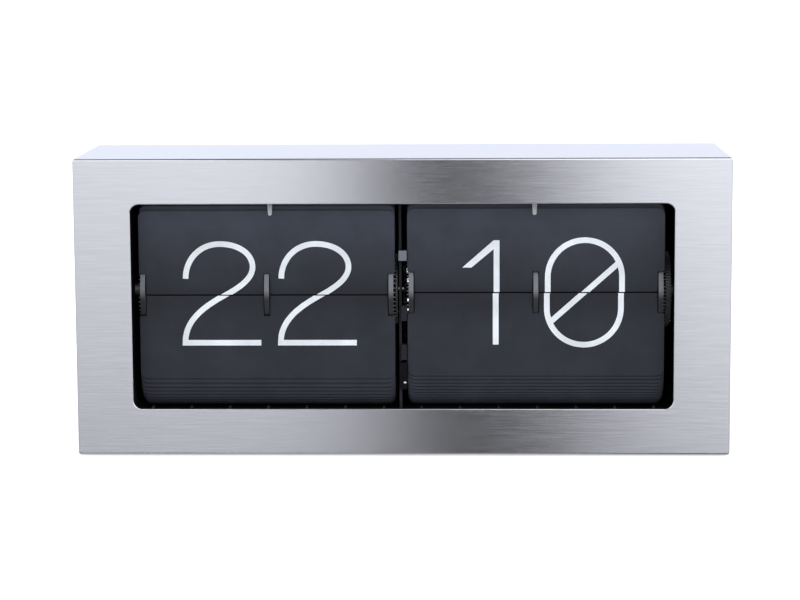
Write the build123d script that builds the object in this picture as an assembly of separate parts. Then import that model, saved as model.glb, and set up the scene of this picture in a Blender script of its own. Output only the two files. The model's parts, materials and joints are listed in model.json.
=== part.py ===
from build123d import *

import os
from math import acos, atan2, cos, degrees, pi, radians, sin, tan

# A boxed flip number clock: steel case, two leaf drums, motion work, drive and battery.
#
# All sizes are in millimetres. +X is to the right seen from the front, +Y to the back
# and +Z up. The origin is the middle of the underside of the feet.

# ---- case ---------------------------------------------------------------
WIDTH = 370.0
DEPTH = 90.0
HEIGHT = 170.0
SHEET = 1.0                     # steel sheet
BEND = 1.3                      # outside radius of the folded edges
FOOT_HEIGHT = 0.8
FRONT = -DEPTH / 2
BACK = DEPTH / 2
WINDOW_HALF_WIDTH = 153.0
WINDOW_BOTTOM = 27.3
WINDOW_TOP = 144.2
WINDOW_CORNER = 5.0
WINDOW_LIP = 0.5                # rounding of the window's outer edge
COVER_FRONT = 41.2              # inner face of the back cover
COVER_BACK = 43.0               # outer face, 2 mm inside the back edge of the case
COVER_GAP = 0.3

# ---- leaf drums -----------------------------------------------------------
MECHANISM_X = -0.8              # the mechanism sits a little left, for the drive wheel
AXIS_Y = -13.0
AXIS_Z = 91.4
PIN_CIRCLE = 20.0               # radius of the ring of leaf pivots
LEAF_WIDTH = 145.8
LEAF_LENGTH = 47.2              # from the pivot line to the free edge
LEAF_THICK = 0.22
LEAF_CORNER = 4.0
UNIT_SPACING = 152.95           # centre of the hour leaves to centre of the minute leaves
HOUR_X = MECHANISM_X - UNIT_SPACING / 2
MINUTE_X = MECHANISM_X + UNIT_SPACING / 2
HOUR_LEAVES = 48
MINUTE_LEAVES = 60
HOUR_PHASE = 2.15               # degrees of the front upper pivot above the axis
MINUTE_PHASE = 5.02
HOUR_HEEL = 1.0                 # leaf beyond its pivot line, towards the split
MINUTE_HEEL = 0.75
HOUR_LEAN = 4.9                 # degrees that a standing leaf leans off the tangent
MINUTE_LEAN = 6.4
HOUR_PLAY = {0: -0.09}          # play of single pivots, leaf number: millimetres along Y
MINUTE_PLAY = {0: -0.2, -2: 0.16, -3: 0.1}

DISC_RADIUS = 22.6
DISC_THICK = 2.7
DISC_INSET = 0.8                # end disc's outer face, in from the leaf's end
NOTCH_LENGTH = 10.9             # notch from the pivot line towards the free edge
NOTCH_SIDE = 0.4                # notch clearance beside a disc
PIN_RADIUS = 0.4
PIN_HOLE = 0.42
PIN_PROUD = 1.1
CORE_RADIUS = 8.0
CORE_INNER = 6.5
AXLE_RADIUS = 1.5
HUB_RADIUS = 4.0
RUNNING_FIT = 0.05

# ---- gears ----------------------------------------------------------------
MODULE = 0.5
FINE_MODULE = 0.3
PRESSURE = radians(20)
ADDENDUM = 0.8                  # stub teeth, in modules
DEDENDUM = 1.05
BACKLASH = 0.16                 # thinning of each tooth, in modules
DRIVE_TEETH = 84
OUTPUT_TEETH = 12
SETTING_TEETH = 72
MINUTE_PINION_TEETH = 10
COUNTER_WHEEL_TEETH = 84
COUNTER_PINION_TEETH = 14
HOUR_WHEEL_TEETH = 80
MOVEMENT_WHEEL_TEETH = 60
MOVEMENT_PINION_TEETH = 10
COUNTER_ANGLE = -30.0           # direction of the counter arbor from the drum axis
OUTPUT_ANGLE = -60.0            # direction of the output arbor
STAGE_ANGLES = (-20.0, -100.0)  # directions inside the movement

# ---- places along X ---------------------------------------------------------
LEFT_PLATE = (-156.4, -154.9)
RIGHT_PLATE = (154.8, 156.3)
CENTRE_PLATE = (-2.0, -0.6)
HOUR_WHEEL = (-3.9, -2.9)
COUNTER_WHEEL = (0.3, 1.2)
MINUTE_PINION = (0.2, 1.4)
DRIVE_WHEEL = (149.2, 152.2)
MOVEMENT = (157.0, 175.0)
OUTPUT_STAGE = (160.0, 161.2)
ROTOR_STAGE = (162.5, 163.7)
HOUR_CORE = (HOUR_X - LEAF_WIDTH / 2 - 1.2, HOUR_WHEEL[1])
MINUTE_CORE = (MINUTE_PINION[1], DRIVE_WHEEL[1] + 1.2)

# ---- chassis, battery and drive ----------------------------------------------
DECK_TOP = 22.0
DECK_THICK = 1.8
RIB_FIRST = 10.7
RIB_PITCH = 21.9
RIB_COUNT = 7
RAIL_BOTTOM = 147.4
CELL_RADIUS = 13.1
CELL_LENGTH = 48.5
CELL_Y = 26.0
CELL_Z = 17.3
CELL_X = 112.0

# ---- case fittings ---------------------------------------------------------
LUG_X = (-166.0, 0.0, 166.0)
LUG_Z = (FOOT_HEIGHT + SHEET, HEIGHT - SHEET)
SCREW_INSET = 6.0               # cover screws, in from the case's inner faces
KEYHOLE_X = 110.0
KEYHOLE_Z = 152.0
POCKET_DEPTH = 6.0
POCKET_SIZE = (16.0, 24.0)
POCKET_WALL = 1.0
POCKET_RISE = 4.0               # pocket's middle above the keyhole's entry
POCKET_PLATE = 2.0
DOOR_X = (CELL_X - 32.0, CELL_X + 32.0)
DOOR_Z = (4.0, 32.0)
SLOT_HALF_HEIGHT = 11.4
KEYHOLE_ENTRY = 4.5             # radius of the round entry for a screw's head
KEYHOLE_SLOT = 2.1              # half width of the slot above it
KEYHOLE_RISE = 10.0
FOOT_RADIUS = 6.0
FOOT_X = 165.0
FOOT_Y = 30.0
VENT_ROWS = 5
VENT_SIZE = (60.0, 2.4)
VENT_BOTTOM = 70.0
VENT_PITCH = 6.0
COVER_SCREW_RADIUS = 1.2
COVER_SCREW_HEAD = (2.6, 1.6)   # radius and height

# ---- chassis pieces --------------------------------------------------------
DECK_Y = (-43.4, 9.0)
PLATE_Y = (-42.4, 38.0)
PLATE_BOTTOM = 2.2
PLATE_TOP = 151.0
FINGER_X = (-74.9, 74.9)
FINGER_TIP = 136.6
FINGER_Y = (-34.3, -33.6)
RAIL_Y = (-42.4, -30.0)
CENTRE_FRONT = -30.0
BUSH_RADIUS = 3.0
DECK_BOSS_Y = (-36.0, 2.0)
DECK_BOSS_Z = 16.6
RAIL_SCREW = (-36.2, 149.0)
WIRE_Y = (18.0, 20.4)
WIRE_Z = 12.0
PLATE_LUG_X = (CENTRE_PLATE[1] - 0.2, 2.4)
PLATE_LUG_Y = (CENTRE_FRONT - 4.0, CENTRE_FRONT + 1.5)
PLATE_LUGS_Z = ((76.0, 84.5), (53.5, 62.0))
COLLAR_RADIUS = 4.6
END_PLAY = 0.3
CLIP_X = (-2.1, 2.5)
CLIP_FRONT = -35.5
CLIP_Z = (110.8, 116.6)
CLIP_WALL = 0.6
STAY_X = (-1.9, 2.5)
STAY_FRONT = -35.0
STAY_FOOT = 1.6                 # thickness of the stay's foot
STAY_Z = (36.0, 44.7, 52.0)     # foot's bottom, step and top
STAY_SCREW = (1.2, 40.0)
STAY_SCREW_RADIUS = 0.9

# ---- arbors ----------------------------------------------------------------
ARBOR_RADIUS = 1.2
THIN_ARBOR = 0.8
ROTOR_ARBOR = 0.6
MAGNET_RADIUS = 3.5
MAGNET_X = (165.0, 169.0)
COUNTER_ARBOR = 1.0

# ---- movement --------------------------------------------------------------
CASE_Y = (-27.0, 29.0)
CASE_Z = (34.0, 88.0)
CASE_WALL = 1.5
LID_X = MOVEMENT[1] - CASE_WALL
STATOR_X = (166.2, 167.8)
STATOR_Y = (-18.0, 18.0)
STATOR_Z = (38.0, 64.0)
LIMB_TOP = 45.0
COIL_Y = (-11.0, 11.0)
BOARD_X = (160.0, 172.0)
BOARD_Y = (CASE_Y[0] + 2.5, CASE_Y[0] + 3.5)
BOARD_Z = (40.0, 84.0)

# ---- battery and leads -----------------------------------------------------
BOX_X = (80.5, 143.5)
BOX_Y = (11.0, 40.9)
BOX_Z = (2.3, 32.3)
BOX_WALL = 1.6
WIRE_RADIUS = 0.65
WIRE_TURN_X = 166.0
BEND_SHARE = 0.45
CONTACT_HALF = (6.0, 9.0)       # half width and half height of a contact plate
CONTACT_THICK = 0.5
SPRING_HALF = 4.0
SPRING_STEP = 1.6

nodes = {}


# ---- helpers ------------------------------------------------------------------
def block(x0, x1, y0, y1, z0, z1):
    """A box between six planes."""
    middle = Pos((x0 + x1) / 2, (y0 + y1) / 2, (z0 + z1) / 2)
    return middle * Box(x1 - x0, y1 - y0, z1 - z0)


def rod_x(span, radius, y, z, bore=0.0):
    """A rod or tube along X."""
    profile = Circle(radius)
    if bore:
        profile -= Circle(bore)
    return extrude(Plane.YZ.offset(span[0]) * Pos(y, z) * profile, span[1] - span[0])


def rod_y(x, z, radius, y0, y1):
    """A rod along Y."""
    return Pos(x, (y0 + y1) / 2, z) * Rot(90, 0, 0) * Cylinder(radius, y1 - y0)


def rod_z(x, y, radius, z0, z1):
    """A rod along Z."""
    return Pos(x, y, (z0 + z1) / 2) * Cylinder(radius, z1 - z0)


def plate_x(span, sketch):
    """A sketch in Y and Z, made into a plate across X."""
    return extrude(Plane.YZ.offset(span[0]) * sketch, span[1] - span[0])


def plate_y(y0, y1, sketch):
    """A sketch in X and Z, made into a plate across Y."""
    return extrude(Plane.XZ.offset(-y1) * sketch, y1 - y0)


def polar(centre, distance, angle):
    """The point at a distance and an angle in degrees, from +Y towards +Z."""
    turn = radians(angle)
    return centre[0] + distance * cos(turn), centre[1] + distance * sin(turn)


def on_pins(phase):
    """The point of the ring of pivots at an angle above the front of the axis."""
    turn = radians(phase)
    return AXIS_Y - PIN_CIRCLE * cos(turn), AXIS_Z + PIN_CIRCLE * sin(turn)


def group(solids):
    """Separate solids as one node."""
    return Compound(children=[s for shape in solids for s in shape.solids()])


# ---- gears --------------------------------------------------------------------
def involute(angle):
    return tan(angle) - angle


def gear_outline(teeth, module, phase):
    """The closed outline of a spur gear with a tooth centred on phase, in degrees."""
    pitch_radius = teeth * module / 2
    base = pitch_radius * cos(PRESSURE)
    root = pitch_radius - DEDENDUM * module
    tip = pitch_radius + ADDENDUM * module
    at_pitch = pi / (2 * teeth) - BACKLASH * module / (2 * pitch_radius)
    flank = []
    for radius in (root, max(root, base), pitch_radius, (pitch_radius + tip) / 2, tip):
        pressure = acos(min(1.0, base / radius))
        half = at_pitch + involute(PRESSURE) - involute(pressure)
        if not flank or radius > flank[-1][0] + 1e-6:
            flank.append((radius, half))
    points = []
    for tooth in range(teeth):
        centre = radians(phase) + 2 * pi * tooth / teeth
        for radius, half in flank:
            points.append((radius * cos(centre - half), radius * sin(centre - half)))
        for radius, half in reversed(flank):
            points.append((radius * cos(centre + half), radius * sin(centre + half)))
    return points


def gear_x(span, teeth, module, centre, phase, bore):
    """A spur gear whose axis runs along X."""
    outline = Polyline(*gear_outline(teeth, module, phase), close=True)
    return plate_x(span, Pos(*centre) * (make_face(outline) - Circle(bore)))


def direction(start, end):
    """The angle in degrees from one point to another, from +Y towards +Z."""
    return degrees(atan2(end[1] - start[1], end[0] - start[0]))


def meshing_phase(teeth, centre, phase, other_teeth, other_centre):
    """The other gear's phase, with one of its gaps wherever this gear has a tooth."""
    way = direction(centre, other_centre)
    share = (phase - way) * teeth / 360
    return way + 180 + (0.5 - share) * 360 / other_teeth


AXIS = (AXIS_Y, AXIS_Z)
OUTPUT = polar(AXIS, (DRIVE_TEETH + OUTPUT_TEETH) * MODULE / 2, OUTPUT_ANGLE)
SETTING = polar(AXIS, (DRIVE_TEETH + SETTING_TEETH) * MODULE / 2, 0)
COUNTER = polar(AXIS, (MINUTE_PINION_TEETH + COUNTER_WHEEL_TEETH) * MODULE / 2, COUNTER_ANGLE)
STAGE_DISTANCE = (MOVEMENT_WHEEL_TEETH + MOVEMENT_PINION_TEETH) * FINE_MODULE / 2
SECOND = polar(OUTPUT, STAGE_DISTANCE, STAGE_ANGLES[0])
ROTOR = polar(SECOND, STAGE_DISTANCE, STAGE_ANGLES[1])


# ---- case -----------------------------------------------------------------------


def on_window_rim(edge):
    """True for an edge of the window in the case's front face."""
    middle = edge.center()
    inside_x = abs(middle.X) <= WINDOW_HALF_WIDTH + RUNNING_FIT
    inside_z = WINDOW_BOTTOM - RUNNING_FIT <= middle.Z <= WINDOW_TOP + RUNNING_FIT
    return inside_x and inside_z and abs(middle.Y - FRONT) < RUNNING_FIT


def steel_shell():
    """One folded steel sheet: front with its window, top, bottom and two ends."""
    low = FOOT_HEIGHT
    outer = block(-WIDTH / 2, WIDTH / 2, FRONT, BACK, low, HEIGHT)
    outer = fillet(outer.edges().filter_by(Axis.Y), BEND)
    outer = fillet(outer.faces().sort_by(Axis.Y)[0].edges(), BEND - 0.1)
    inner = block(
        SHEET - WIDTH / 2, WIDTH / 2 - SHEET, FRONT + SHEET, BACK + 1, low + SHEET, HEIGHT - SHEET
    )
    inner = fillet(inner.edges().filter_by(Axis.Y), BEND - SHEET + 0.1)
    window = RectangleRounded(2 * WINDOW_HALF_WIDTH, WINDOW_TOP - WINDOW_BOTTOM, WINDOW_CORNER)
    window = Pos(0, (WINDOW_TOP + WINDOW_BOTTOM) / 2) * window
    shell = outer - inner - plate_y(FRONT - 1, FRONT + 3, window)
    nodes["steel_shell"] = fillet(shell.edges().filter_by(on_window_rim), WINDOW_LIP)

    places = [(x, y) for x in (-FOOT_X, FOOT_X) for y in (-FOOT_Y, FOOT_Y)]
    nodes["rubber_feet"] = group(rod_z(x, y, FOOT_RADIUS, 0, FOOT_HEIGHT) for x, y in places)


def screw_places():
    """The six cover screws: X, Z and which way the lug's foot lies."""
    for x in LUG_X:
        yield x, LUG_Z[0] + SCREW_INSET, -1
        yield x, LUG_Z[1] - SCREW_INSET, 1


def shell_lugs():
    """Angle lugs welded inside the case, which the cover screws go into."""
    lugs = []
    for x, z, up in screw_places():
        wall = z + up * SCREW_INSET
        upright = block(x - 5, x + 5, COVER_FRONT - 1.2, COVER_FRONT, z - 4.5, z + 4.5)
        foot_z = sorted((wall, wall - up * 1.5))
        foot = block(x - 5, x + 5, COVER_FRONT - 9, COVER_FRONT, *foot_z)
        lugs.append(upright + foot - rod_y(x, z, 1.25, COVER_FRONT - 4, COVER_FRONT + 2))
    nodes["shell_lugs"] = group(lugs)


def keyhole_sketch(x, z):
    """A keyhole: a round entry for the screw's head and a narrow slot above it."""
    slot = Pos(x, z + KEYHOLE_RISE / 2) * Rectangle(2 * KEYHOLE_SLOT, KEYHOLE_RISE)
    top = Pos(x, z + KEYHOLE_RISE) * Circle(KEYHOLE_SLOT)
    return Pos(x, z) * Circle(KEYHOLE_ENTRY) + slot + top


def back_cover():
    low = FOOT_HEIGHT + SHEET + COVER_GAP
    high = HEIGHT - SHEET - COVER_GAP
    outline = RectangleRounded(WIDTH - 2 * (SHEET + COVER_GAP), high - low, 1.5)
    sketch = Pos(0, (low + high) / 2) * outline
    sketch -= Pos(CELL_X, (DOOR_Z[0] + DOOR_Z[1]) / 2) * RectangleRounded(
        DOOR_X[1] - DOOR_X[0], DOOR_Z[1] - DOOR_Z[0], 2
    )
    wheel_middle = (DRIVE_WHEEL[0] + DRIVE_WHEEL[1]) / 2
    sketch -= Pos(wheel_middle, AXIS_Z) * RectangleRounded(5.2, 2 * SLOT_HALF_HEIGHT, 1)
    for x in (-KEYHOLE_X, KEYHOLE_X):
        sketch -= keyhole_sketch(x, KEYHOLE_Z)
    for x, z, up in screw_places():
        sketch -= Pos(x, z) * Circle(1.6)
    for row in range(VENT_ROWS):
        sketch -= Pos(0, VENT_BOTTOM + VENT_PITCH * row) * RectangleRounded(*VENT_SIZE, 1.1)
    nodes["back_cover"] = plate_y(COVER_FRONT, COVER_BACK, sketch)

    screws = []
    for x, z, up in screw_places():
        head_radius, head_height = COVER_SCREW_HEAD
        head = rod_y(x, z, head_radius, COVER_BACK, COVER_BACK + head_height)
        head = fillet(head.edges().sort_by(Axis.Y)[-1], 0.8)
        slot = block(x - 2, x + 2, COVER_BACK + 0.9, COVER_BACK + 2, z - 0.3, z + 0.3)
        cross = block(x - 0.3, x + 0.3, COVER_BACK + 0.9, COVER_BACK + 2, z - 2, z + 2)
        shank = rod_y(x, z, COVER_SCREW_RADIUS, COVER_FRONT - 3.5, COVER_BACK)
        screws.append(head + shank - slot - cross)
    nodes["cover_screws"] = group(screws)

    pockets = []
    for x in (-KEYHOLE_X, KEYHOLE_X):
        middle = Pos(x, KEYHOLE_Z + POCKET_RISE)
        outer = middle * RectangleRounded(*POCKET_SIZE, 2)
        inner = middle * RectangleRounded(*[side - 2 * POCKET_WALL for side in POCKET_SIZE], 1)
        front = COVER_FRONT - POCKET_DEPTH
        pocket = plate_y(front, COVER_FRONT, outer)
        pocket -= plate_y(front + POCKET_WALL, COVER_FRONT - POCKET_PLATE, inner)
        pocket -= plate_y(COVER_FRONT - POCKET_PLATE, COVER_FRONT, keyhole_sketch(x, KEYHOLE_Z))
        pockets.append(pocket)
    nodes["keyhole_pockets"] = group(pockets)


# ---- chassis --------------------------------------------------------------------


def ribbed_deck():
    """The black deck under the leaves, with a row of short ribs along its front."""
    left = LEFT_PLATE[1]
    right = RIGHT_PLATE[0]
    deck = block(left, right, *DECK_Y, DECK_TOP - DECK_THICK, DECK_TOP)
    deck += block(left, right, DECK_Y[0], DECK_Y[0] + 1.8, DECK_TOP - 10, DECK_TOP)
    for side in (-1, 1):
        for rib in range(RIB_COUNT):
            x = side * (RIB_FIRST + rib * RIB_PITCH)
            deck += block(x - 0.5, x + 0.5, DECK_Y[0], -38.5, DECK_TOP, DECK_TOP + 6.3)
    for x0 in (left, right - 8):
        for y in DECK_BOSS_Y:
            deck += block(x0, x0 + 8, y - 3.6, y + 3.6, DECK_BOSS_Z - 3.6, DECK_TOP - 1)
    nodes["ribbed_deck"] = deck


def bearing_plate(span, holes, bottom=PLATE_BOTTOM, front=PLATE_Y[0]):
    """An upright plate that carries the axle, with round holes at points in Y and Z."""
    middle = Pos((front + PLATE_Y[1]) / 2, (bottom + PLATE_TOP) / 2)
    sketch = middle * RectangleRounded(PLATE_Y[1] - front, PLATE_TOP - bottom, 3)
    for centre, radius in holes:
        sketch -= Pos(*centre) * Circle(radius)
    return plate_x(span, sketch)


def chassis_plates():
    axle_hole = (AXIS, AXLE_RADIUS)
    nodes["left_bearing_plate"] = bearing_plate(LEFT_PLATE, [axle_hole])
    output_hole = (OUTPUT, 5.0)
    setting_hole = (SETTING, AXLE_RADIUS + RUNNING_FIT)
    wire_hole = ((sum(WIRE_Y) / 2, WIRE_Z), 3.2)
    nodes["right_bearing_plate"] = bearing_plate(
        RIGHT_PLATE, [axle_hole, output_hole, setting_hole, wire_hole]
    )
    counter_hole = (COUNTER, BUSH_RADIUS)
    centre = bearing_plate(CENTRE_PLATE, [axle_hole, counter_hole], DECK_TOP, CENTRE_FRONT)
    for span in PLATE_LUGS_Z:
        centre += block(*PLATE_LUG_X, *PLATE_LUG_Y, *span)
    nodes["centre_bearing_plate"] = centre

    left_span = (LEFT_PLATE[1], HOUR_CORE[0] - END_PLAY)
    right_span = (MINUTE_CORE[1] + END_PLAY, RIGHT_PLATE[0])
    collar = rod_x(left_span, COLLAR_RADIUS, *AXIS, bore=AXLE_RADIUS)
    other = rod_x(right_span, COLLAR_RADIUS, *AXIS, bore=AXLE_RADIUS)
    nodes["axle_collars"] = group([collar, other])
    bush = rod_x((-2.4, -0.2), BUSH_RADIUS, *COUNTER, bore=1.0 + RUNNING_FIT)
    nodes["counter_bush"] = bush
    nodes["drum_axle"] = rod_x((LEFT_PLATE[0] - 2, RIGHT_PLATE[1] + 0.5), AXLE_RADIUS, *AXIS)


def chassis_details():
    """Top rail, leaf fingers, the bright clip, the lower stay and the fixing screws."""
    left = LEFT_PLATE[1]
    right = RIGHT_PLATE[0]
    rail = block(left, right, *RAIL_Y, RAIL_BOTTOM, RAIL_BOTTOM + 1.5)
    rail += block(left, right, RAIL_Y[0], RAIL_Y[0] + 1.5, RAIL_BOTTOM, RAIL_BOTTOM + 6)
    rail += block(left, right, RAIL_Y[1] - 1.5, RAIL_Y[1], RAIL_BOTTOM, RAIL_BOTTOM + 3.4)
    for x0 in (left, right - 1.5):
        rail += block(x0, x0 + 1.5, *RAIL_Y, RAIL_BOTTOM, RAIL_BOTTOM + 5)
    nodes["top_rail"] = rail

    for name, x in zip(("hour", "minute"), FINGER_X):
        tongue = Polyline(
            (x - 1.6, RAIL_BOTTOM), (x + 1.6, RAIL_BOTTOM), (x + 1.1, FINGER_TIP + 1.1),
            (x - 1.1, FINGER_TIP + 1.1), close=True,
        )
        tongue = make_face(tongue) + Pos(x, FINGER_TIP + 1.1) * Circle(1.1)
        finger = plate_y(*FINGER_Y, tongue)
        finger += block(x - 4, x + 4, -39, FINGER_Y[1], RAIL_BOTTOM - 0.7, RAIL_BOTTOM)
        nodes[name + "_catch_finger"] = finger

    clip = block(*CLIP_X, CLIP_FRONT, CENTRE_FRONT, *CLIP_Z)
    clip = fillet(clip.edges().filter_by(Axis.Y).group_by(Axis.Z)[-1], CLIP_WALL)
    clip -= block(
        CLIP_X[0] + CLIP_WALL, CLIP_X[1] - CLIP_WALL, CLIP_FRONT + CLIP_WALL, CENTRE_FRONT + 1,
        CLIP_Z[0] - 1, CLIP_Z[1] - CLIP_WALL,
    )
    nodes["centre_clip"] = clip
    foot_front = CENTRE_FRONT - STAY_FOOT
    stay = block(*STAY_X, STAY_FRONT, CENTRE_FRONT, *STAY_Z[1:])
    stay += block(*STAY_X, foot_front, CENTRE_FRONT, *STAY_Z[:2])
    nodes["centre_stay"] = stay
    stay_head = rod_y(*STAY_SCREW, STAY_SCREW_RADIUS, foot_front - 1.4, foot_front)
    screws = [fillet(stay_head.edges().sort_by(Axis.Y)[0], 0.5)]
    for y, z in [(y, DECK_BOSS_Z) for y in DECK_BOSS_Y] + [RAIL_SCREW]:
        for outer, way in ((LEFT_PLATE[0], -1), (RIGHT_PLATE[1], 1)):
            span = sorted((outer, outer + way * 1.6))
            head = rod_x(span, 2.4, y, z)
            edge = head.edges().sort_by(Axis.X)[0 if way < 0 else -1]
            screws.append(fillet(edge, 0.7))
    nodes["chassis_screws"] = group(screws)


# ---- leaves ---------------------------------------------------------------------
def leaf_blank(heel):
    """One leaf lying in the XY plane, its pivot line on X and its free edge at +Y."""
    half = LEAF_WIDTH / 2
    sketch = Pos(0, (LEAF_LENGTH - heel) / 2) * Rectangle(LEAF_WIDTH, LEAF_LENGTH + heel)
    sketch = fillet(sketch.vertices().group_by(Axis.Y)[-1], LEAF_CORNER)
    end_depth = DISC_INSET + DISC_THICK + NOTCH_SIDE
    middle_depth = DISC_THICK + 2 * NOTCH_SIDE
    notch_middle = (NOTCH_LENGTH - heel) / 2 - 0.5
    notch_height = NOTCH_LENGTH + heel + 1.0
    for side in (-1, 1):
        x = side * (half - end_depth / 2 + 0.5)
        sketch -= Pos(x, notch_middle) * Rectangle(end_depth + 1, notch_height)
    sketch -= Pos(0, notch_middle) * Rectangle(middle_depth, notch_height)
    return extrude(sketch, LEAF_THICK / 2, both=True)


def placed_leaf(blank, x, pivot, angle):
    """A leaf on a pivot, pointing at an angle above the front of the axis."""
    return Pos(x, *pivot) * Rot(180 - angle, 0, 0) * blank


def leaf_pack(name, middle, count, phase, heel, lean, play):
    """All the leaves of one drum: the leaf that falls, the one below it and two packs."""
    blank = leaf_blank(heel)
    standing = []
    hanging = []
    for number in range(count):
        turn = phase + number * 360 / count
        angle = min(turn + 90 - lean, 270)
        if number == 0:
            angle = 90
        behind = number if number <= count // 2 else number - count
        y, z = on_pins(turn)
        leaf = placed_leaf(blank, middle, (y + play.get(behind, 0), z), angle)
        if behind == 0:
            nodes[name + "_falling_leaf"] = leaf
        elif behind == -1:
            nodes[name + "_lower_leaf"] = leaf
        elif angle < 270:
            standing.append(leaf)
        else:
            hanging.append(leaf)
    nodes[name + "_standing_leaves"] = group(standing)
    nodes[name + "_hanging_leaves"] = group(hanging)


# ---- drums ----------------------------------------------------------------------
def drum(name, middle, count, phase, core_ends):
    """A moulded core with three discs and a ring of pivot pins in each end disc."""
    half = LEAF_WIDTH / 2 - DISC_INSET
    left = (middle - half, middle - half + DISC_THICK)
    right = (middle + half - DISC_THICK, middle + half)
    centre = (middle - DISC_THICK / 2, middle + DISC_THICK / 2)
    pins = [on_pins(phase + number * 360 / count) for number in range(count)]

    holed = Pos(*AXIS) * Circle(DISC_RADIUS) - Pos(*AXIS) * Circle(CORE_RADIUS)
    holed -= [Pos(*pin) * Circle(PIN_HOLE) for pin in pins]
    discs = [plate_x(left, holed), plate_x(right, holed)]
    discs.append(rod_x(centre, DISC_RADIUS, *AXIS, bore=CORE_RADIUS))
    nodes[name + "_drum_discs"] = group(discs)

    stubs = []
    for pin in pins:
        stubs.append(rod_x((left[0] - PIN_PROUD, left[1]), PIN_RADIUS, *pin))
        stubs.append(rod_x((right[0], right[1] + PIN_PROUD), PIN_RADIUS, *pin))
    nodes[name + "_leaf_pins"] = group(stubs)

    core = rod_x((left[0], right[1]), CORE_RADIUS, *AXIS, bore=AXLE_RADIUS + RUNNING_FIT)
    core -= rod_x((left[1], right[0]), CORE_INNER, *AXIS, bore=AXLE_RADIUS / 2)
    hub = rod_x(core_ends, HUB_RADIUS, *AXIS, bore=AXLE_RADIUS + RUNNING_FIT)
    hub -= rod_x((left[0], right[1]), HUB_RADIUS + 1, *AXIS)
    nodes[name + "_drum_core"] = core + hub


# ---- drive and motion work ----------------------------------------------------------


def motion_work():
    """The minute drum's two gears, the counter arbor and the hour wheel: 48 to 1."""
    bore = AXLE_RADIUS + RUNNING_FIT
    nodes["minute_drive_wheel"] = gear_x(DRIVE_WHEEL, DRIVE_TEETH, MODULE, AXIS, 0, HUB_RADIUS)
    nodes["minute_pinion"] = gear_x(MINUTE_PINION, MINUTE_PINION_TEETH, MODULE, AXIS, 0, bore)
    phase = meshing_phase(MINUTE_PINION_TEETH, AXIS, 0, COUNTER_WHEEL_TEETH, COUNTER)
    nodes["counter_wheel"] = gear_x(
        COUNTER_WHEEL, COUNTER_WHEEL_TEETH, MODULE, COUNTER, phase, COUNTER_ARBOR
    )
    pinion = gear_x(HOUR_WHEEL, COUNTER_PINION_TEETH, MODULE, COUNTER, 0, COUNTER_ARBOR / 2)
    arbor = rod_x((HOUR_WHEEL[0], COUNTER_WHEEL[1]), COUNTER_ARBOR, *COUNTER)
    nodes["counter_arbor"] = pinion + arbor
    phase = meshing_phase(COUNTER_PINION_TEETH, COUNTER, 0, HOUR_WHEEL_TEETH, AXIS)
    nodes["hour_wheel"] = gear_x(HOUR_WHEEL, HOUR_WHEEL_TEETH, MODULE, AXIS, phase, HUB_RADIUS)


def setting_wheel():
    """The toothed wheel that shows at the back and turns the minute drum by hand."""
    phase = meshing_phase(DRIVE_TEETH, AXIS, 0, SETTING_TEETH, SETTING)
    nodes["setting_wheel"] = gear_x(
        DRIVE_WHEEL, SETTING_TEETH, MODULE, SETTING, phase, AXLE_RADIUS
    )
    arbor = rod_x((DRIVE_WHEEL[0], RIGHT_PLATE[1] + 3.0), AXLE_RADIUS, *SETTING)
    collar = rod_x((RIGHT_PLATE[1] + 0.3, RIGHT_PLATE[1] + 2.3), 2.8, *SETTING, bore=AXLE_RADIUS)
    shoulder = rod_x((DRIVE_WHEEL[1], RIGHT_PLATE[0] - 0.3), 3.0, *SETTING, bore=AXLE_RADIUS)
    nodes["setting_arbor"] = arbor
    nodes["setting_collars"] = group([collar, shoulder])


def movement_case():
    case = block(MOVEMENT[0], LID_X, *CASE_Y, *CASE_Z)
    case = fillet(case.edges().filter_by(Axis.X), 3)
    case -= block(
        MOVEMENT[0] + CASE_WALL, LID_X + 1, CASE_Y[0] + CASE_WALL, CASE_Y[1] - CASE_WALL,
        CASE_Z[0] + CASE_WALL, CASE_Z[1] - CASE_WALL,
    )
    lid = fillet(block(LID_X, MOVEMENT[1], *CASE_Y, *CASE_Z).edges().filter_by(Axis.X), 3)
    holes = ((OUTPUT, ARBOR_RADIUS), (SECOND, THIN_ARBOR), (ROTOR, ROTOR_ARBOR))
    for centre, radius in holes:
        bore = radius + RUNNING_FIT
        case -= rod_x((MOVEMENT[0] - 1, MOVEMENT[0] + CASE_WALL + 1), bore, *centre)
        lid -= rod_x((LID_X - 1, MOVEMENT[1] + 1), bore, *centre)
    for y in WIRE_Y:
        case -= rod_z(WIRE_TURN_X, y, WIRE_RADIUS, CASE_Z[0] - 1, CASE_Z[0] + CASE_WALL + 1)
    nodes["movement_case"] = case
    nodes["movement_lid"] = lid


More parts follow.
